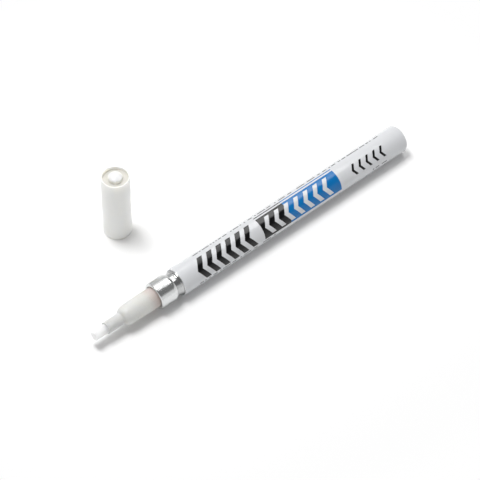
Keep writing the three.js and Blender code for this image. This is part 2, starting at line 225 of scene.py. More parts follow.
class CapSettings(PropertyGroup):
    wall: length("Wall", "Wall of the cap", 0.0009)
    draft: length("Draft", "How much narrower the closed end is", 0.00005)
    rim_width: length("Rim width", "The thin rim round the recess", 0.0005)
    rim_round: length("Rim round", "Rounding of the rim's outside", 0.0002)
    rim_inner_round: length("Rim inner round", "Rounding of the rim's inside", 0.00015)
    recess: length("Recess", "Depth of the recess in the closed end", 0.00125)
    end_wall: length("End wall", "Wall of the recess floor", 0.00095)
    edge_round: length("Edge round", "Rounding of the other edges", 0.0002)
    fine_round: length("Fine round", "Rounding of the finest edges", 0.0001)
    crown_rise: length("Crown rise", "From the rim up to the top of the crown", 0.0009)
    crown_bend: length("Crown bend", "Height of the crown's round top", 0.0013)
    crown_side_round: length("Crown side round", "Rounding from side to top", 0.0003)
    crown_top_round: length("Crown top round", "Rounding on the top", 0.001)
    crown_wall: length("Crown wall", "Wall of the crown", 0.0006)
    crown_clearance: length("Crown clearance", "To the nib, with the cap on", 0.00015)
    sleeve_grip: length("Sleeve grip", "How far the sleeve reaches over the nose", 0.0026)
    sleeve_flare: length("Sleeve flare", "How much the sleeve's mouth widens", 0.00015)
    sleeve_flare_length: length("Sleeve flare length", "Length of that flare", 0.0006)
    sleeve_mouth_round: length("Sleeve mouth round", "Rounding of the sleeve's mouth", 0.00008)
    plastic: colour("Plastic", "Translucent cap", (0.985, 0.965, 0.90))
    # Painted shade: how much darker the recess floor's colour is made
    painted_recess_shade: share("Floor dimming", "How much less white the recess floor shows", 0.37)
    softness: length("Softness", "How far light spreads in the cap", 0.001)
    sleeve_softness: length("Sleeve softness", "How far light spreads in the sleeve", 0.0015)


class StageSettings(PropertyGroup):
    floor: colour("Floor", "Pale floor", (0.88, 0.88, 0.88))
    floor_radius: length("Floor radius", "Half the width of the floor", 3.0)
    floor_white: amount("Floor white", "How much paler the floor shows than it lights", 1.07)
    white_start: length("White start", "Where the floor begins to turn plain white", 0.088)
    white_end: length("White end", "Where the floor is plain white", 0.135)
    fade_start: length("Fade start", "Where the white begins to turn into the cove", 0.4)
    fade_end: length("Fade end", "Where it shows like the cove", 2.5)
    lamp_height: length("Lamp height", "Height of the soft lamps", 0.7)
    lamp_left: amount("Left lamp", "Radiance of the key lamp", 19.0)
    lamp_right: amount("Right lamp", "Radiance of the second lamp", 6.0)
    lamp_back: amount("Back lamp", "Radiance of the weak lamp behind", 1.0)
    room: amount("Room", "Grey of the room above the cove", 0.19)
    cove: amount("Cove", "White of the low cove round the floor", 0.85)
    cove_low: angle("Cove low", "Height at which the cove begins to darken", 19)
    cove_high: angle("Cove high", "Height at which it shows like the room", 29)
    lens: amount("Lens", "Focal length in millimetres", 171.3)
    distance: length("Distance", "From the camera to the middle of the picture", 0.811)
    azimuth: angle("Azimuth", "Camera's turn round the object", -41.47)
    elevation: angle("Elevation", "Camera's height as an angle", 50)
    roll: angle("Roll", "Camera's tilt round its own line of sight", 1.01)
    aim: FloatVectorProperty(
        name="Aim",
        description="Where the camera looks",
        default=(-0.00243, -0.0142, 0),
        subtype="TRANSLATION",
        unit="LENGTH",
    )


# Turning the pieces

MILLIMETRE = 0.001
CLEARANCE = 0.0001

# Edges that bend more than this stay crisp
CRISP = math.radians(32)

# Where the corners of a rounded quarter lie along its two sides
ROUND = math.tan(math.radians(22.5))

# The nose's shoulder, as shares of its length and of its rise
SHOULDER = ((0.25, 0.52), (0.57, 0.84))

# Steps of the spring's wire in each turn
WIRE_STEPS = 32


def turned(outline, closed, sides=128, rounding_steps=6):
    """Turns an outline round the X axis. Each corner is (along, radius, rounding)."""
    following = outline[1:] + outline[:1] if closed else outline[1:]
    for (x, radius, rounding), (next_x, next_radius, next_rounding) in zip(outline, following):
        room = math.hypot(next_x - x, next_radius - radius)
        if rounding + next_rounding > room * 0.98:
            raise ValueError(f"the roundings at {x:.5f} and {next_x:.5f} need more than {room:.5f}")
    mesh = bmesh.new()
    corners = [mesh.verts.new((x / MILLIMETRE, radius / MILLIMETRE, 0)) for x, radius, _ in outline]
    for start, end in zip(corners, corners[1:]):
        mesh.edges.new((start, end))
    if closed:
        mesh.edges.new((corners[-1], corners[0]))
    for corner, (_, _, rounding) in zip(corners, outline):
        if rounding:
            bmesh.ops.bevel(
                mesh,
                geom=[corner],
                offset=rounding / MILLIMETRE,
                segments=rounding_steps,
                profile=0.5,
                affect="VERTICES",
                material=-1,
            )
    bmesh.ops.spin(
        mesh,
        geom=mesh.verts[:] + mesh.edges[:],
        cent=(0, 0, 0),
        axis=(1, 0, 0),
        dvec=(0, 0, 0),
        angle=math.tau,
        steps=sides,
        use_merge=True,
    )
    bmesh.ops.remove_doubles(mesh, verts=mesh.verts, dist=0.0005)
    bmesh.ops.recalc_face_normals(mesh, faces=mesh.faces)
    bmesh.ops.scale(mesh, vec=(MILLIMETRE,) * 3, verts=mesh.verts)
    return mesh


def sheet(outside, wall):
    """Gives the outline of a sheet its other side, set in by the wall."""
    points = [Vector((x, radius)) for x, radius, _ in outside]
    inside = []
    for i, (point, corner) in enumerate(zip(points, outside)):
        arriving = (point - points[i - 1] if i else points[1] - point).normalized()
        leaving = (points[i + 1] - point if i + 1 < len(points) else arriving).normalized()
        inwards = Vector((arriving.y + leaving.y, -arriving.x - leaving.x)).normalized()
        inner = point + inwards * wall / inwards.dot(Vector((arriving.y, -arriving.x)))
        half_turn = math.atan2(arriving.cross(leaving), arriving.dot(leaving)) / 2
        inside.append((inner.x, inner.y, max(corner[2] + wall * math.tan(half_turn), 0)))
    return [*outside, *reversed(inside)]


def stood_up(mesh):
    """Turns a piece of the cap from lying along X to standing on the floor."""
    upright = Matrix.Rotation(-math.pi / 2, 3, "Y")
    bmesh.ops.rotate(mesh, cent=(0, 0, 0), matrix=upright, verts=mesh.verts)
    return mesh


def finished(mesh, name, at, body, node, slot, *materials):
    """Makes the object, in place on its body, in the stead of the frame's own piece."""
    bmesh.ops.translate(mesh, vec=at, verts=mesh.verts)
    for edge in mesh.edges:
        edge.smooth = len(edge.link_faces) == 2 and edge.calc_face_angle() < CRISP
    for face in mesh.faces:
        face.smooth = True
    data = bpy.data.meshes.new(name)
    mesh.to_mesh(data)
    mesh.free()
    piece = bpy.data.objects.new(name, data)
    bpy.context.scene.collection.objects.link(piece)
    for material in materials:
        data.materials.append(material)
    normals = piece.modifiers.new("Even shading", "WEIGHTED_NORMAL")
    normals.keep_sharp = True
    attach(piece, body)
    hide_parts(node)
    return piece


# Finishes


class Finish:
    """A material, with short ways to add nodes to it."""

    def __init__(self, name):
        self.material = bpy.data.materials.new(name)
        self.material.use_nodes = True
        self.nodes = self.material.node_tree.nodes
        self.links = self.material.node_tree.links
        self.shader = self.nodes["Principled BSDF"]

    def feed(self, socket, value):
        if isinstance(value, bpy.types.NodeSocket):
            self.links.new(value, socket)
        else:
            socket.default_value = value

    def add(self, kind, inputs, output=0, **settings):
        node = self.nodes.new(kind)
        for name, value in settings.items():
            setattr(node, name, value)
        for name, value in inputs.items():
            self.feed(node.inputs[name], value)
        return node.outputs[output]

    def math(self, operation, *values, clamp=False):
        inputs = dict(enumerate(values))
        return self.add("ShaderNodeMath", inputs, operation=operation, use_clamp=clamp)

    def place(self, origin, scale=(1, 1, 1)):
        """Object coordinates in millimetres from a point, with each axis stretched by its scale."""
        stretch = [factor / MILLIMETRE for factor in scale]
        shift = [-part * factor for part, factor in zip(origin, stretch)]
        coordinates = self.nodes.new("ShaderNodeTexCoord").outputs["Object"]
        inputs = {"Vector": coordinates, "Location": shift, "Scale": stretch}
        return self.add("ShaderNodeMapping", inputs)

    def axes(self, place):
        """The three coordinates of a place."""
        split = self.nodes.new("ShaderNodeSeparateXYZ")
        self.feed(split.inputs[0], place)
        return split.outputs

    def noise(self, place, size, detail=2.0, roughness=0.5):
        """Noise from 0 to 1 whose spots are about this many millimetres wide."""
        inputs = {"Vector": place, "Scale": 1 / size, "Detail": detail, "Roughness": roughness}
        return self.add("ShaderNodeTexNoise", inputs)

    def both(self, first, second):
        """1 where two patterns are both 1."""
        return self.math("MULTIPLY", first, second)

    def either(self, first, *others):
        """1 where at least one of the patterns is 1."""
        for other in others:
            first = self.math("MAXIMUM", first, other)
        return first

    def between(self, value, low, high):
        """Takes a value from 0 to 1 into a range."""
        return self.math("MULTIPLY_ADD", value, high - low, low)

    def ramp(self, value, start, end, first, last):
        """Runs smoothly from one value to another while the input goes from start to end."""
        inputs = {
            "Value": value,
            "From Min": start,
            "From Max": end,
            "To Min": first,
            "To Max": last,
        }
        return self.add("ShaderNodeMapRange", inputs, interpolation_type="SMOOTHSTEP")

    def mix(self, share_of_second, first, second):
        """Mixes two colours."""
        inputs = {0: share_of_second, 6: first, 7: second}
        return self.add("ShaderNodeMix", inputs, output=2, data_type="RGBA")

    def mix_shaders(self, share_of_second, first, second):
        inputs = {0: share_of_second, 1: first, 2: second}
        return self.add("ShaderNodeMixShader", inputs, output="Shader")

    def toned(self, colour, factor):
        """A colour times a factor or times another colour."""
        return self.add("ShaderNodeVectorMath", {0: colour, 1: factor}, operation="MULTIPLY")

    def darkened(self, colour, pattern, loss):
        """A colour that loses a share of its light where a pattern is 1."""
        return self.toned(colour, self.math("MULTIPLY_ADD", pattern, -loss, 1.0))

    def rough(self, value):
        self.feed(self.shader.inputs["Roughness"], value)

    def colour(self, value):
        self.feed(self.shader.inputs["Base Color"], value)

    def colour_so_far(self):
        return self.shader.inputs["Base Color"].links[0].from_socket

    def relief(self, height, depth):
        """Raises the surface by a height from 0 to 1, times a depth in millimetres."""
        inputs = {"Height": height, "Distance": depth * MILLIMETRE, "Strength": 1.0}
        self.feed(self.shader.inputs["Normal"], self.add("ShaderNodeBump", inputs))

    def set(self, **values):
        for name, value in values.items():
            self.shader.inputs[name.replace("_", " ")].default_value = value


def rgba(colour, factor=1.0):
    return (*[part * factor for part in colour], 1.0)


def strip(finish, value, low, high, blur=0.04):
    """1 where a value in millimetres lies between two limits, and 0 outside."""
    half = (high - low) / 2
    off_middle = finish.math("ABSOLUTE", finish.math("SUBTRACT", value, (low + high) / 2))
    return finish.math("MULTIPLY_ADD", off_middle, -1 / blur, half / blur + 0.5, clamp=True)


def chevrons(finish, leant, start, count, step, width):
    """1 on a row of equal chevrons, along a length that is already leant back by the slant."""
    lead = 0.1
    turns = finish.math("MULTIPLY_ADD", leant, 1 / step, -start / step)
    since_last = finish.math("MULTIPLY", finish.math("FRACT", turns), step)
    stripes = strip(finish, since_last, lead, lead + width)
    return finish.both(stripes, strip(finish, leant, start, start + count * step))


# Lines of fine dashes: start, end, height from the print's line, all in millimetres, and a seed
DASHED_LINES = (
    (46.0, 133.6, -5.6, 11.0),
    (43.0, 78.0, 6.2, 47.0),
    (124.5, 132.0, 5.6, 83.0),
)


def dashed(finish, x, turn, start, end, height, seed):
    """1 on a fine broken line that runs along the barrel."""
    cell_length, half_width, gap_share = 0.62, 0.32, 0.3
    cell = finish.math("FLOOR", finish.math("MULTIPLY", x, 1 / cell_length))
    seeded = {"W": finish.math("ADD", cell, seed)}
    chance = finish.add("ShaderNodeTexWhiteNoise", seeded, noise_dimensions="1D")
    row = strip(finish, turn, height - half_width, height + half_width, blur=0.08)
    inked = finish.both(row, finish.math("GREATER_THAN", chance, gap_share))
    return finish.both(inked, strip(finish, x, start, end))


def printed(finish, settings):
    """The black and the blue of the print: rows of plain chevrons, two blocks and fine dashes."""
    size = {name: getattr(settings, name) / MILLIMETRE for name in settings.__annotations__}
    radius = reach("barrel") / MILLIMETRE
    x, y, z = finish.axes(finish.place(MARKER_AXIS))
    around = finish.math("ARCTAN2", finish.math("MULTIPLY", y, -1), z)
    turn = finish.math("MULTIPLY_ADD", around, radius, -settings.facing * radius)
    top, bottom, margin = size["top"], size["bottom"], size["block_margin"]
    centre = (top + bottom) / 2
    off_centre = finish.math("ABSOLUTE", finish.math("SUBTRACT", turn, centre))
    leant = finish.math("MULTIPLY_ADD", off_centre, -settings.slant, x)

    def row(name, start, low, high):
        """A row of chevrons of one kind, cut off at its lower and upper edge."""
        count = getattr(settings, f"{name}_count")
        step, width = size[f"{name}_step"], size[f"{name}_width"]
        shapes = chevrons(finish, leant, start, count, step, width)
        return finish.both(strip(finish, turn, low, high), shapes)

    band = row("band", size["band_start"], top, bottom)
    pale = row("pale", size["block_start"] + size["pale_inset"], top + margin, bottom - margin)
    half = size["rear_height"] / 2
    rear = row("rear", size["rear_start"], centre - half, centre + half)

    line_bottom = top - size["line_gap"]
    line = strip(finish, turn, line_bottom - size["line_width"], line_bottom)
    block = finish.both(strip(finish, turn, top, bottom), finish.math("SUBTRACT", 1.0, pale))
    block = finish.either(block, line)
    black_part = strip(finish, x, size["block_start"], size["block_change"])
    blue_part = strip(finish, x, size["block_change"], size["block_end"])
    dashes = finish.either(*[dashed(finish, x, turn, *values) for values in DASHED_LINES])
    dash_strength = 0.75
    fine = finish.math("MULTIPLY", dashes, dash_strength)
    black = finish.either(band, finish.both(block, black_part), rear, fine)
    return black, finish.both(block, blue_part)


def lacquer_with_print(barrel, print_settings):
    """White lacquer with its print, which stands up a little and is a little duller."""
    finish = Finish("white_lacquer")
    black, blue = printed(finish, print_settings)
    place = finish.place(MARKER_AXIS)
    cloud = finish.noise(place, 9.0, detail=3.0)
    coat = finish.mix(cloud, rgba(barrel.lacquer, 0.97), rgba(barrel.lacquer, 1.02))
    with_black = finish.mix(black, coat, rgba(barrel.black))
    finish.colour(finish.mix(blue, with_black, rgba(barrel.blue)))
    inked = finish.either(black, blue)
    grain = finish.noise(place, 0.35, detail=3.0)
    dulling = finish.math("MULTIPLY", inked, 0.03)
    finish.rough(finish.math("ADD", finish.between(grain, 0.12, 0.18), dulling))
    peel = finish.noise(place, 1.6, detail=1.0)
    finish.relief(finish.math("MULTIPLY_ADD", inked, 0.5, peel), 0.004)
    finish.set(IOR=1.4)
    return finish.material


def cut_aluminium():
    """Bare drawn aluminium inside the cup and on its cut edge."""
    finish = Finish("drawn_aluminium")
    place = finish.place(MARKER_AXIS, scale=(0.15, 1, 1))
    streaks = finish.noise(place, 0.25, detail=3.0)
    finish.colour(finish.mix(streaks, (0.72, 0.73, 0.74, 1), (0.86, 0.87, 0.88, 1)))
    finish.rough(finish.between(streaks, 0.25, 0.42))
    finish.relief(streaks, 0.003)
    finish.set(Metallic=1.0)
    return finish.material


def rolled_aluminium(ferrule):
    """Bare aluminium with the fine rings that rolling leaves, and painted shade in the rolled
    groove.
    """
    finish = Finish("bare_aluminium")
    place = finish.place(MARKER_AXIS)
    rings = finish.noise(finish.place(MARKER_AXIS, scale=(1, 0.02, 0.02)), 0.3, detail=1.0)
    haze = finish.noise(place, 1.8, detail=3.0)
    past_edge = 0.2
    start = (along("front_ferrule")[0] + ferrule.collar_length) / MILLIMETRE - past_edge
    end = along("barrel")[0] / MILLIMETRE + past_edge
    # Painted shade: the sheet's colour is darkened in the rolled groove, where shade falls
    in_groove = strip(finish, finish.axes(place)["X"], start, end, blur=0.5)
    unshaded = finish.mix(haze, rgba(ferrule.skin, 0.93), rgba(ferrule.skin))
    finish.colour(finish.darkened(unshaded, in_groove, ferrule.groove_shade))
    ring_haze = finish.math("MULTIPLY", rings, 0.04)
    finish.rough(finish.math("ADD", finish.between(haze, 0.19, 0.22), ring_haze))
    finish.relief(rings, 0.0003)
    finish.set(Metallic=1.0)
    return finish.material


def hazy_plastic(name, origin, tint, clearness, softness):
    """Hazy translucent plastic with a faint flow of tone and a fine satin surface."""
    finish = Finish(name)
    flow = finish.noise(finish.place(origin, scale=(0.3, 1, 1)), 2.4, detail=3.0)
    finish.colour(finish.toned(tint, finish.between(flow, 0.96, 1.0)))
    satin = finish.noise(finish.place(origin), 0.18, detail=2.0)
    finish.rough(finish.between(satin, 0.24, 0.34))
    finish.relief(satin, 0.002)
    finish.set(
        Subsurface_Weight=1.0,
        Subsurface_Radius=(1.0, 0.97, 0.9),
        Subsurface_Scale=softness,
        Transmission_Weight=clearness,
        IOR=1.5,
    )
    return finish


def nose_plastic(nose, collar):
    """The nose's plastic, with a painted warm reflection and shade that grows towards the collar."""
    finish = hazy_plastic("clear_plastic", MARKER_AXIS, nose.plastic, nose.clearness, nose.softness)
    x = finish.axes(finish.place(MARKER_AXIS))["X"]
    collar_place, ahead, behind = collar / MILLIMETRE, 5.0, 1.0
    # Painted warm reflection and shade: the plastic turns darker and warmer towards the collar
    reflected = finish.ramp(x, collar_place - ahead, collar_place + behind, 0.0, 1.0)
    plain = finish.colour_so_far()
    finish.colour(finish.mix(reflected, plain, finish.toned(plain, nose.collar_reflection)))
    return finish.material


def cap_plastic(cap, recess_floor):
    """The cap's plastic, with painted shade on the recess floor, where no sleeve lies behind."""
    finish = hazy_plastic("cap_plastic", CAP_AXIS, cap.plastic, 0.0, cap.softness)
    x, y, z = finish.axes(finish.place(CAP_AXIS))
    height, below, above = recess_floor / MILLIMETRE, 0.5, 0.1
    at_floor = strip(finish, z, height - below, height + above, blur=0.3)
    squares = finish.math("MULTIPLY_ADD", x, x, finish.math("MULTIPLY", y, y))
    rim = (reach("cap_shell") - cap.rim_width) / MILLIMETRE
    in_rim = strip(finish, finish.math("SQRT", squares), -rim, rim)
    in_recess = finish.both(at_floor, in_rim)
    # Painted shade: the recess floor's colour is darkened
    finish.colour(finish.darkened(finish.colour_so_far(), in_recess, cap.painted_recess_shade))
    return finish.material


def pressed_fibre(nib):
    """Pressed fibre: lengthwise fibres on the side, and their cut ends on the flat."""
    finish = Finish("nib_fibre")
    place = finish.place(MARKER_AXIS, scale=(0.08, 1, 1))
    fibres = finish.noise(place, 0.11, detail=3.0, roughness=0.65)
    finish.colour(finish.mix(fibres, rgba(nib.fibre, 0.86), rgba(nib.fibre)))
    finish.rough(finish.between(fibres, 0.75, 0.95))
    finish.relief(fibres, 0.03)
    finish.set(
        Subsurface_Weight=1.0, Subsurface_Radius=(1.0, 0.98, 0.95), Subsurface_Scale=nib.softness
    )
    return finish.material


def black_rubber():
    """Black rubber with a little dust."""
    finish = Finish("black_rubber")
    dust = finish.noise(finish.place(MARKER_AXIS), 0.5, detail=4.0)
    finish.colour(finish.mix(dust, (0.012, 0.012, 0.013, 1), (0.03, 0.03, 0.032, 1)))
    finish.rough(finish.between(dust, 0.55, 0.8))
    finish.relief(dust, 0.01)
    return finish.material


def valve_plastic():
    """The milky plastic of the valve, with a satin surface."""
    finish = Finish("valve_plastic")
    place = finish.place(MARKER_AXIS)
    satin = finish.noise(place, 0.3, detail=3.0)
    finish.colour(finish.mix(satin, (0.72, 0.74, 0.73, 1), (0.8, 0.82, 0.81, 1)))
    finish.rough(finish.between(satin, 0.38, 0.5))
    finish.relief(satin, 0.004)
    finish.set(Subsurface_Weight=0.3, Subsurface_Radius=(1, 1, 1), Subsurface_Scale=MILLIMETRE)
    return finish.material


def drawn_steel(name, scale, rough_low, rough_high):
    """Bare steel with fine streaks, which the scale makes longer or shorter along each axis."""
    finish = Finish(name)
    streaks = finish.noise(finish.place(MARKER_AXIS, scale=scale), 0.12, detail=3.0)
    finish.colour(finish.mix(streaks, (0.5, 0.51, 0.53, 1), (0.64, 0.65, 0.67, 1)))
    finish.rough(finish.between(streaks, rough_low, rough_high))
    finish.relief(streaks, 0.002)
    finish.set(Metallic=1.0)
    return finish.material


# Pieces


def nose_rear_radius():
    return reach("tip_holder") - bpy.context.scene.marker_nose.flange_height


def skirt_radius():
    return reach("barrel") - bpy.context.scene.marker_barrel.wall - CLEARANCE


def seal_groove():
    """Where the groove for the rubber ring starts and ends."""
    sizes = bpy.context.scene.marker_ferrule
    ring_start, ring_end = along("barrel_seal")
    half = sizes.seal_groove_length / 2 + sizes.seal_groove_side
    return (ring_start + ring_end) / 2 - half, (ring_start + ring_end) / 2 + half


class MARKER_OT_barrel(Operator):
    """Build the lacquered barrel with its printed bands"""

    bl_idname = "marker.barrel"
    bl_label = "Barrel"

    def execute(self, context):
        scene = context.scene
        sizes = scene.marker_barrel
        start, end = along("barrel")
        radius = reach("barrel")
        bore = radius - sizes.wall
        crown_edge = end - sizes.end_crown
        outline = [
            (end - sizes.end_wall, 0, 0),
            (end - sizes.end_wall, bore, sizes.end_round - sizes.wall),
            (start, bore, 0),
            (start, radius, sizes.mouth_round),
            (crown_edge, radius, sizes.end_round),
            (end, sizes.end_face / 2, sizes.end_face / 8),
            (end, 0, 0),
        ]
        mesh = turned(outline, closed=False)
        for face in mesh.faces:
            spot = face.calc_center_median()
            past_edge = spot.x > start + sizes.mouth_round
            on_side = math.hypot(spot.y, spot.z) > bore + sizes.wall / 2
            on_end = spot.x > end - sizes.end_wall / 2
            face.material_index = 0 if past_edge and (on_side or on_end) else 1
        coats = (lacquer_with_print(sizes, scene.marker_print), cut_aluminium())
        finished(mesh, "barrel_cup", MARKER_AXIS, "barrel", "barrel", "white_lacquer", *coats)
        return {"FINISHED"}


class MARKER_OT_ferrule(Operator):
    """Build the bare collar with its lip, rolled groove and skirt"""

    bl_idname = "marker.ferrule"
    bl_label = "Ferrule"

    def execute(self, context):
        sizes = context.scene.marker_ferrule
        start, end = along("front_ferrule")
        collar = reach("front_ferrule")
        skirt = skirt_radius()
        groove = skirt - sizes.groove_depth
        groove_start = start + sizes.collar_length
        groove_end = along("barrel")[0] - CLEARANCE
        lip = nose_rear_radius() + sizes.lip_clearance
        seal_start, seal_end = seal_groove()
        seal_floor = skirt - sizes.seal_groove_depth
        bend = sizes.bend
        outside = [
            (start + sizes.lip_turn, lip, 0),
            (start, lip, sizes.lip_round),
            (start, collar, sizes.edge_round),
            (groove_start - sizes.shoulder, collar, 2 * bend),
            (groove_start, collar - sizes.shoulder_drop, bend),
            (groove_start + bend / 5, groove, bend / 4),
            (groove_end - sizes.groove_side, groove, bend),
            (groove_end, skirt, bend),
            (seal_start, skirt, bend),
            (seal_start + sizes.seal_groove_side, seal_floor, bend / 2),
            (seal_end - sizes.seal_groove_side, seal_floor, bend / 2),
            (seal_end, skirt, bend),
            (end, skirt, 0),
        ]
        mesh = turned(sheet(outside, sizes.wall), closed=True)
        slot, metal = "bare_aluminium", rolled_aluminium(sizes)
        finished(mesh, "collar_and_skirt", MARKER_AXIS, "barrel", "front_ferrule", slot, metal)
        return {"FINISHED"}


class MARKER_OT_nose(Operator):
    """Build the translucent nose with its ribbed chamber"""

    bl_idname = "marker.nose"
    bl_label = "Nose"

    def execute(self, context):
        sizes = context.scene.marker_nose
        start, end = along("tip_holder")
        ferrule = context.scene.marker_ferrule
        nib_bore = reach("nib") + CLEARANCE
        tube = nib_bore + sizes.tube_wall
        tube_end = start + sizes.tube_length
        body_start = tube_end + sizes.shoulder
        body_end = body_start + sizes.body_length
        rear = nose_rear_radius()
        front = rear - sizes.draft
        flange = reach("tip_holder")
        flange_start = body_end + ferrule.lip_turn + CLEARANCE
        flange_end = along("holder_gasket")[0] - CLEARANCE
        waist = skirt_radius() - ferrule.groove_depth - ferrule.wall - CLEARANCE
        lock = skirt_radius() - ferrule.wall - CLEARANCE
        lock_start = along("barrel")[0]
        lock_end = seal_groove()[0] - CLEARANCE
        neck = reach("valve_case")
        pocket = neck - sizes.neck_wall
        pocket_start = along("valve_seat")[0] - CLEARANCE
        chamber = front - sizes.body_wall
        chamber_start = body_start + sizes.floor
        shoulder = [
            (tube_end + run * sizes.shoulder, tube + rise * (front - tube), sizes.shoulder_round)
            for run, rise in SHOULDER
        ]
        outline = [
            (start, nib_bore, 0),
            (start, tube, sizes.edge_round),
            (tube_end, tube, sizes.tube_round),
            *shoulder,
            (body_start, front, sizes.body_round),
            (body_end, rear, 0),
            (flange_start, rear, 0),
            (flange_start, flange, sizes.edge_round),
            (flange_end, flange, sizes.edge_round),
            (flange_end, waist, 0),
            (lock_start, waist, 0),
            (lock_start + sizes.lock_ramp, lock, sizes.inner_round),
            (lock_end - sizes.lock_ramp, lock, sizes.inner_round),
            (lock_end, neck, 0),
            (end, neck, sizes.edge_round),
            (end, pocket, sizes.inner_round),
            (pocket_start, pocket, 0),
            (pocket_start, sizes.throat, 0),
            (flange_end, sizes.throat, 0),
            (flange_end - sizes.floor, chamber, 0),
            (chamber_start, chamber, 0),
            (chamber_start - (chamber - nib_bore), nib_bore, 0),
        ]
        mesh = turned(outline, closed=True, sides=120)
        rib_step = math.tau / sizes.rib_count
        ribs = []
        for face in mesh.faces:
            spot = face.calc_center_median()
            between_ends = chamber_start < spot.x < flange_end - sizes.floor
            on_wall = abs(math.hypot(spot.y, spot.z) - chamber) < 2 * CLEARANCE
            around = math.atan2(spot.y, spot.z) % rib_step
            off_rib = min(around, rib_step - around) * chamber
            if between_ends and on_wall and off_rib < sizes.rib_thickness / 2:
                ribs.append(face)
        grown = bmesh.ops.extrude_face_region(mesh, geom=ribs)
        moved = [part for part in grown["geom"] if isinstance(part, bmesh.types.BMVert)]
        shrink = nib_bore / chamber
        bmesh.ops.scale(mesh, vec=(1, shrink, shrink), verts=moved)
        bmesh.ops.delete(mesh, geom=ribs, context="FACES_KEEP_BOUNDARY")
        bmesh.ops.recalc_face_normals(mesh, faces=mesh.faces)
        slot, plastic = "clear_plastic", nose_plastic(sizes, body_end)
        finished(mesh, "nose_moulding", MARKER_AXIS, "barrel", "tip_holder", slot, plastic)
        return {"FINISHED"}


class MARKER_OT_nib(Operator):
    """Build the fibre nib"""

    bl_idname = "marker.nib"
    bl_label = "Nib"

    def execute(self, context):
        sizes = context.scene.marker_nib
        start, end = along("nib")
        radius = reach("nib")
        outline = [
            (start, 0, 0),
            (start, radius, sizes.edge_round),
            (end, radius, sizes.edge_round),
            (end, 0, 0),
        ]
        mesh = turned(outline, closed=False, sides=96)
        fibre = pressed_fibre(sizes)
        finished(mesh, "nib_rod", MARKER_AXIS, "nib_plunger", "nib", "nib_fibre", fibre)
        return {"FINISHED"}


class MARKER_OT_cap(Operator):
    """Build the cap shell with its recessed end and round crown"""

    bl_idname = "marker.cap"
    bl_label = "Cap"

    def execute(self, context):
        sizes = context.scene.marker_cap
        low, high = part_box("cap_shell")
        crown_top = high.z
        height = crown_top - sizes.crown_rise
        mouth = (high.y - low.y) / 2
        top = mouth - sizes.draft
        bore = mouth - sizes.wall
        floor = height - sizes.recess
        ceiling = floor - sizes.end_wall
        crown_hollow = reach("nib") + sizes.crown_clearance
        crown = crown_hollow + sizes.crown_wall
        rim_inside = top - sizes.rim_width
        outline = [
            (crown_top - sizes.crown_wall, 0, 0),
            (crown_top - sizes.crown_wall, crown_hollow, sizes.crown_wall),
            (ceiling, crown_hollow, 0),
            (ceiling, bore, sizes.edge_round),
            (0, bore, sizes.fine_round),
            (0, mouth, sizes.edge_round),
            (height, top, sizes.rim_round),
            (height, rim_inside, sizes.rim_inner_round),
            (floor, rim_inside, sizes.edge_round),
            (floor, crown, sizes.fine_round),
            (crown_top - (1 - ROUND) * sizes.crown_bend, crown, sizes.crown_side_round),
            (crown_top, ROUND * crown, sizes.crown_top_round),
            (crown_top, 0, 0),
        ]
        mesh = stood_up(turned(outline, closed=False))
        plastic = cap_plastic(sizes, floor)
        finished(mesh, "cap_body", CAP_AXIS, "cap", "cap_shell", "cap_plastic", plastic)
        return {"FINISHED"}


class MARKER_OT_sleeve(Operator):
    """Build the soft sleeve inside the cap"""

    bl_idname = "marker.sleeve"
    bl_label = "Sleeve"

    def execute(self, context):
        sizes = context.scene.marker_cap
        low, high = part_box("cap_liner")
        outer = (high.y - low.y) / 2
        nose = context.scene.marker_nose
        slimmer = nose.draft * (1 - sizes.sleeve_grip / nose.body_length)
        inner = nose_rear_radius() - slimmer + CLEARANCE
        outline = [
            (low.z, inner + sizes.sleeve_flare, sizes.sleeve_mouth_round),
            (low.z, outer, sizes.fine_round),
            (high.z, outer, sizes.edge_round),
            (high.z, inner, 0),
            (low.z + sizes.sleeve_flare_length, inner, sizes.edge_round),
        ]
        mesh = stood_up(turned(outline, closed=True, sides=96))
        soft = hazy_plastic("liner_plastic", CAP_AXIS, sizes.plastic, 0.0, sizes.sleeve_softness)
        finished(mesh, "cap_sleeve", CAP_AXIS, "cap", "cap_liner", "liner_plastic", soft.material)
        return {"FINISHED"}


class MARKER_OT_spring(Operator):
    """Build the valve spring"""

    bl_idname = "marker.spring"
    bl_label = "Spring"

    def execute(self, context):
        sizes = context.scene.marker_spring
        start, end = along("valve_spring")
        wire = sizes.wire / MILLIMETRE
        coil = reach("valve_spring") / MILLIMETRE - wire / 2
        rise = (end - start) / MILLIMETRE - wire
        steps = sizes.turns * WIRE_STEPS
        mesh = bmesh.new()
        bmesh.ops.create_circle(mesh, segments=12, radius=wire / 2)
        first = (start / MILLIMETRE + wire / 2, coil, 0)
        bmesh.ops.translate(mesh, vec=first, verts=mesh.verts)
        bmesh.ops.spin(
            mesh,
            geom=mesh.verts[:] + mesh.edges[:],
            cent=(0, 0, 0),
            axis=(1, 0, 0),
            dvec=(rise / steps, 0, 0),
            angle=math.tau * sizes.turns,
            steps=steps,
        )
        bmesh.ops.holes_fill(mesh, edges=mesh.edges, sides=0)
        bmesh.ops.recalc_face_normals(mesh, faces=mesh.faces)
        bmesh.ops.scale(mesh, vec=(MILLIMETRE,) * 3, verts=mesh.verts)
        slot, steel = "spring_steel", drawn_steel("spring_steel", (1, 0.3, 0.3), 0.2, 0.34)
        piece = finished(mesh, "spring_coil", MARKER_AXIS, "barrel", "valve_spring", slot, steel)
        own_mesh(piece)
        return {"FINISHED"}


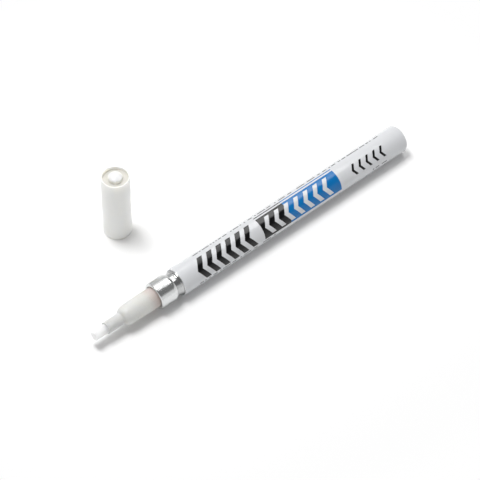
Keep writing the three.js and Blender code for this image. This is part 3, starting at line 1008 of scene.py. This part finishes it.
class MARKER_OT_inner(Operator):
    """Give the valve, the seals and the mixing ball their finishes"""

    bl_idname = "marker.inner"
    bl_label = "Inner pieces"

    def execute(self, context):
        rubber = black_rubber()
        plastic = valve_plastic()
        ball = drawn_steel("ball_steel", (1, 1, 1), 0.08, 0.16)
        finishes = {
            "barrel_seal": rubber,
            "holder_gasket": rubber,
            "valve_seat": rubber,
            "valve_rod": plastic,
            "valve_case": plastic,
            "mixing_ball": ball,
        }
        for node, material in finishes.items():
            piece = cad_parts[node]
            for slot in piece.material_slots:
                slot.material = material
        return {"FINISHED"}


# Stage


def pale_floor(stage):
    """A matt floor that lights as usual, and shows white to the camera, in metal and in plastic."""
    finish = Finish("pale_floor")
    place = finish.place((0, 0, 0))
    paper = finish.noise(place, 60.0, detail=1.0)
    tone = finish.mix(paper, rgba(stage.floor, 0.995), rgba(stage.floor))
    lit = finish.add("ShaderNodeBsdfDiffuse", {"Color": tone}, output="BSDF")
    white = rgba(stage.floor, stage.floor_white)
    near = finish.add("ShaderNodeBsdfDiffuse", {"Color": white}, output="BSDF")

    distance = finish.add("ShaderNodeVectorMath", {0: place}, output="Value", operation="LENGTH")

    def fading(start, end, first, last):
        """Runs from one value to another between two distances from the middle of the floor."""
        return finish.ramp(distance, start / MILLIMETRE, end / MILLIMETRE, first, last)

    paling = fading(stage.fade_start, stage.fade_end, 1.0, stage.cove)
    far = finish.add("ShaderNodeEmission", {"Color": paling}, output="Emission")
    seen = finish.mix_shaders(fading(stage.white_start, stage.white_end, 0.0, 1.0), near, far)
    rays = finish.nodes.new("ShaderNodeLightPath").outputs
    direct = finish.either(
        rays["Is Camera Ray"], rays["Is Glossy Ray"], rays["Is Transmission Ray"]
    )
    shown = finish.mix_shaders(direct, lit, seen)
    finish.feed(finish.nodes["Material Output"].inputs["Surface"], shown)
    finish.nodes.remove(finish.shader)
    return finish.material


def studio(stage):
    """A grey room whose walls turn into a white cove near the floor."""
    world = bpy.data.worlds.new("studio")
    world.use_nodes = True
    nodes, links = world.node_tree.nodes, world.node_tree.links
    direction = nodes.new("ShaderNodeTexCoord")
    split = nodes.new("ShaderNodeSeparateXYZ")
    cove = nodes.new("ShaderNodeMapRange")
    cove.interpolation_type = "SMOOTHSTEP"
    cove.inputs["From Min"].default_value = math.sin(stage.cove_low)
    cove.inputs["From Max"].default_value = math.sin(stage.cove_high)
    cove.inputs["To Min"].default_value = stage.cove
    cove.inputs["To Max"].default_value = stage.room
    links.new(direction.outputs["Generated"], split.inputs[0])
    links.new(split.outputs["Z"], cove.inputs["Value"])
    links.new(cove.outputs["Result"], nodes["Background"].inputs["Color"])
    return world


def soft_lamp(name, centre, size_x, size_y, radiance):
    """A soft lamp that faces straight down."""
    lamp = bpy.data.lights.new(name, "AREA")
    lamp.shape = "RECTANGLE"
    lamp.size = size_x
    lamp.size_y = size_y
    lamp.energy = radiance * math.pi * size_x * size_y
    holder = bpy.data.objects.new(name, lamp)
    holder.location = centre
    holder.visible_camera = False
    bpy.context.scene.collection.objects.link(holder)


def aimed_camera(stage):
    """A camera that looks at the aim, placed by its distance, azimuth, elevation and roll."""
    camera = bpy.data.cameras.new("camera")
    camera.lens = stage.lens
    camera.sensor_width = 36
    camera.clip_start = 0.01
    level = Vector((math.cos(stage.azimuth), math.sin(stage.azimuth), 0))
    outwards = Vector((math.sin(stage.azimuth), -math.cos(stage.azimuth), 0))
    back = outwards * math.cos(stage.elevation) + Vector((0, 0, math.sin(stage.elevation)))
    right = math.cos(stage.roll) * level + math.sin(stage.roll) * back.cross(level)
    turn = Matrix((right, back.cross(right), back)).transposed().to_4x4()
    place = Vector(stage.aim) + back * stage.distance
    holder = bpy.data.objects.new("camera", camera)
    holder.matrix_world = Matrix.Translation(place) @ turn
    bpy.context.scene.collection.objects.link(holder)
    return holder


class MARKER_OT_stage(Operator):
    """Build the floor, the light and the camera"""

    bl_idname = "marker.stage"
    bl_label = "Stage"

    def execute(self, context):
        stage = context.scene.marker_stage
        mesh = bmesh.new()
        bmesh.ops.create_circle(mesh, cap_ends=True, segments=96, radius=stage.floor_radius)
        data = bpy.data.meshes.new("floor")
        mesh.to_mesh(data)
        mesh.free()
        floor = bpy.data.objects.new("floor", data)
        data.materials.append(pale_floor(stage))
        context.scene.collection.objects.link(floor)

        context.scene.world = studio(stage)

        # Middle and size of each lamp are shares of the height that it hangs at
        height = stage.lamp_height
        lamps = (
            ("left_lamp", (-0.1, 0.28), (0.28, 0.46), stage.lamp_left),
            ("right_lamp", (0.52, 0.24), (0.2, 0.88), stage.lamp_right),
            ("back_lamp", (0.2, 1.05), (1.8, 0.7), stage.lamp_back),
        )
        for name, (across, behind), (width, depth), radiance in lamps:
            centre = (across * height, behind * height, height)
            soft_lamp(name, centre, width * height, depth * height, radiance)

        context.scene.camera = aimed_camera(stage)
        context.scene.view_settings.view_transform = "Standard"
        return {"FINISHED"}


class MARKER_PT_panel(Panel):
    """Lists the marker's pieces and their sizes"""

    bl_idname = "MARKER_PT_panel"
    bl_label = "Paint Marker"
    bl_space_type = "VIEW_3D"
    bl_region_type = "UI"
    bl_category = "Paint Marker"

    def draw(self, context):
        for name, group in SETTINGS.items():
            box = self.layout.box()
            box.label(text=group.__name__.replace("Settings", ""))
            settings = getattr(context.scene, name)
            for size in group.__annotations__:
                box.prop(settings, size)
        for operator in OPERATORS:
            self.layout.operator(operator.bl_idname)


SETTINGS = {
    "marker_barrel": BarrelSettings,
    "marker_print": PrintSettings,
    "marker_ferrule": FerruleSettings,
    "marker_nose": NoseSettings,
    "marker_nib": NibSettings,
    "marker_spring": SpringSettings,
    "marker_cap": CapSettings,
    "marker_stage": StageSettings,
}
OPERATORS = (
    MARKER_OT_barrel,
    MARKER_OT_ferrule,
    MARKER_OT_nose,
    MARKER_OT_nib,
    MARKER_OT_spring,
    MARKER_OT_cap,
    MARKER_OT_sleeve,
    MARKER_OT_inner,
    MARKER_OT_stage,
)


def register():
    for group in SETTINGS.values():
        bpy.utils.register_class(group)
    for name, group in SETTINGS.items():
        setattr(bpy.types.Scene, name, PointerProperty(type=group))
    for operator in OPERATORS:
        bpy.utils.register_class(operator)
    bpy.utils.register_class(MARKER_PT_panel)


def unregister():
    bpy.utils.unregister_class(MARKER_PT_panel)
    for operator in reversed(OPERATORS):
        bpy.utils.unregister_class(operator)
    for name in SETTINGS:
        delattr(bpy.types.Scene, name)
    for group in reversed(SETTINGS.values()):
        bpy.utils.unregister_class(group)


def main():
    register()
    bpy.ops.marker.barrel()
    bpy.ops.marker.ferrule()
    bpy.ops.marker.nose()
    bpy.ops.marker.nib()
    bpy.ops.marker.spring()
    bpy.ops.marker.cap()
    bpy.ops.marker.sleeve()
    bpy.ops.marker.inner()
    bpy.ops.marker.stage()


if __name__ == "__main__":
    main()
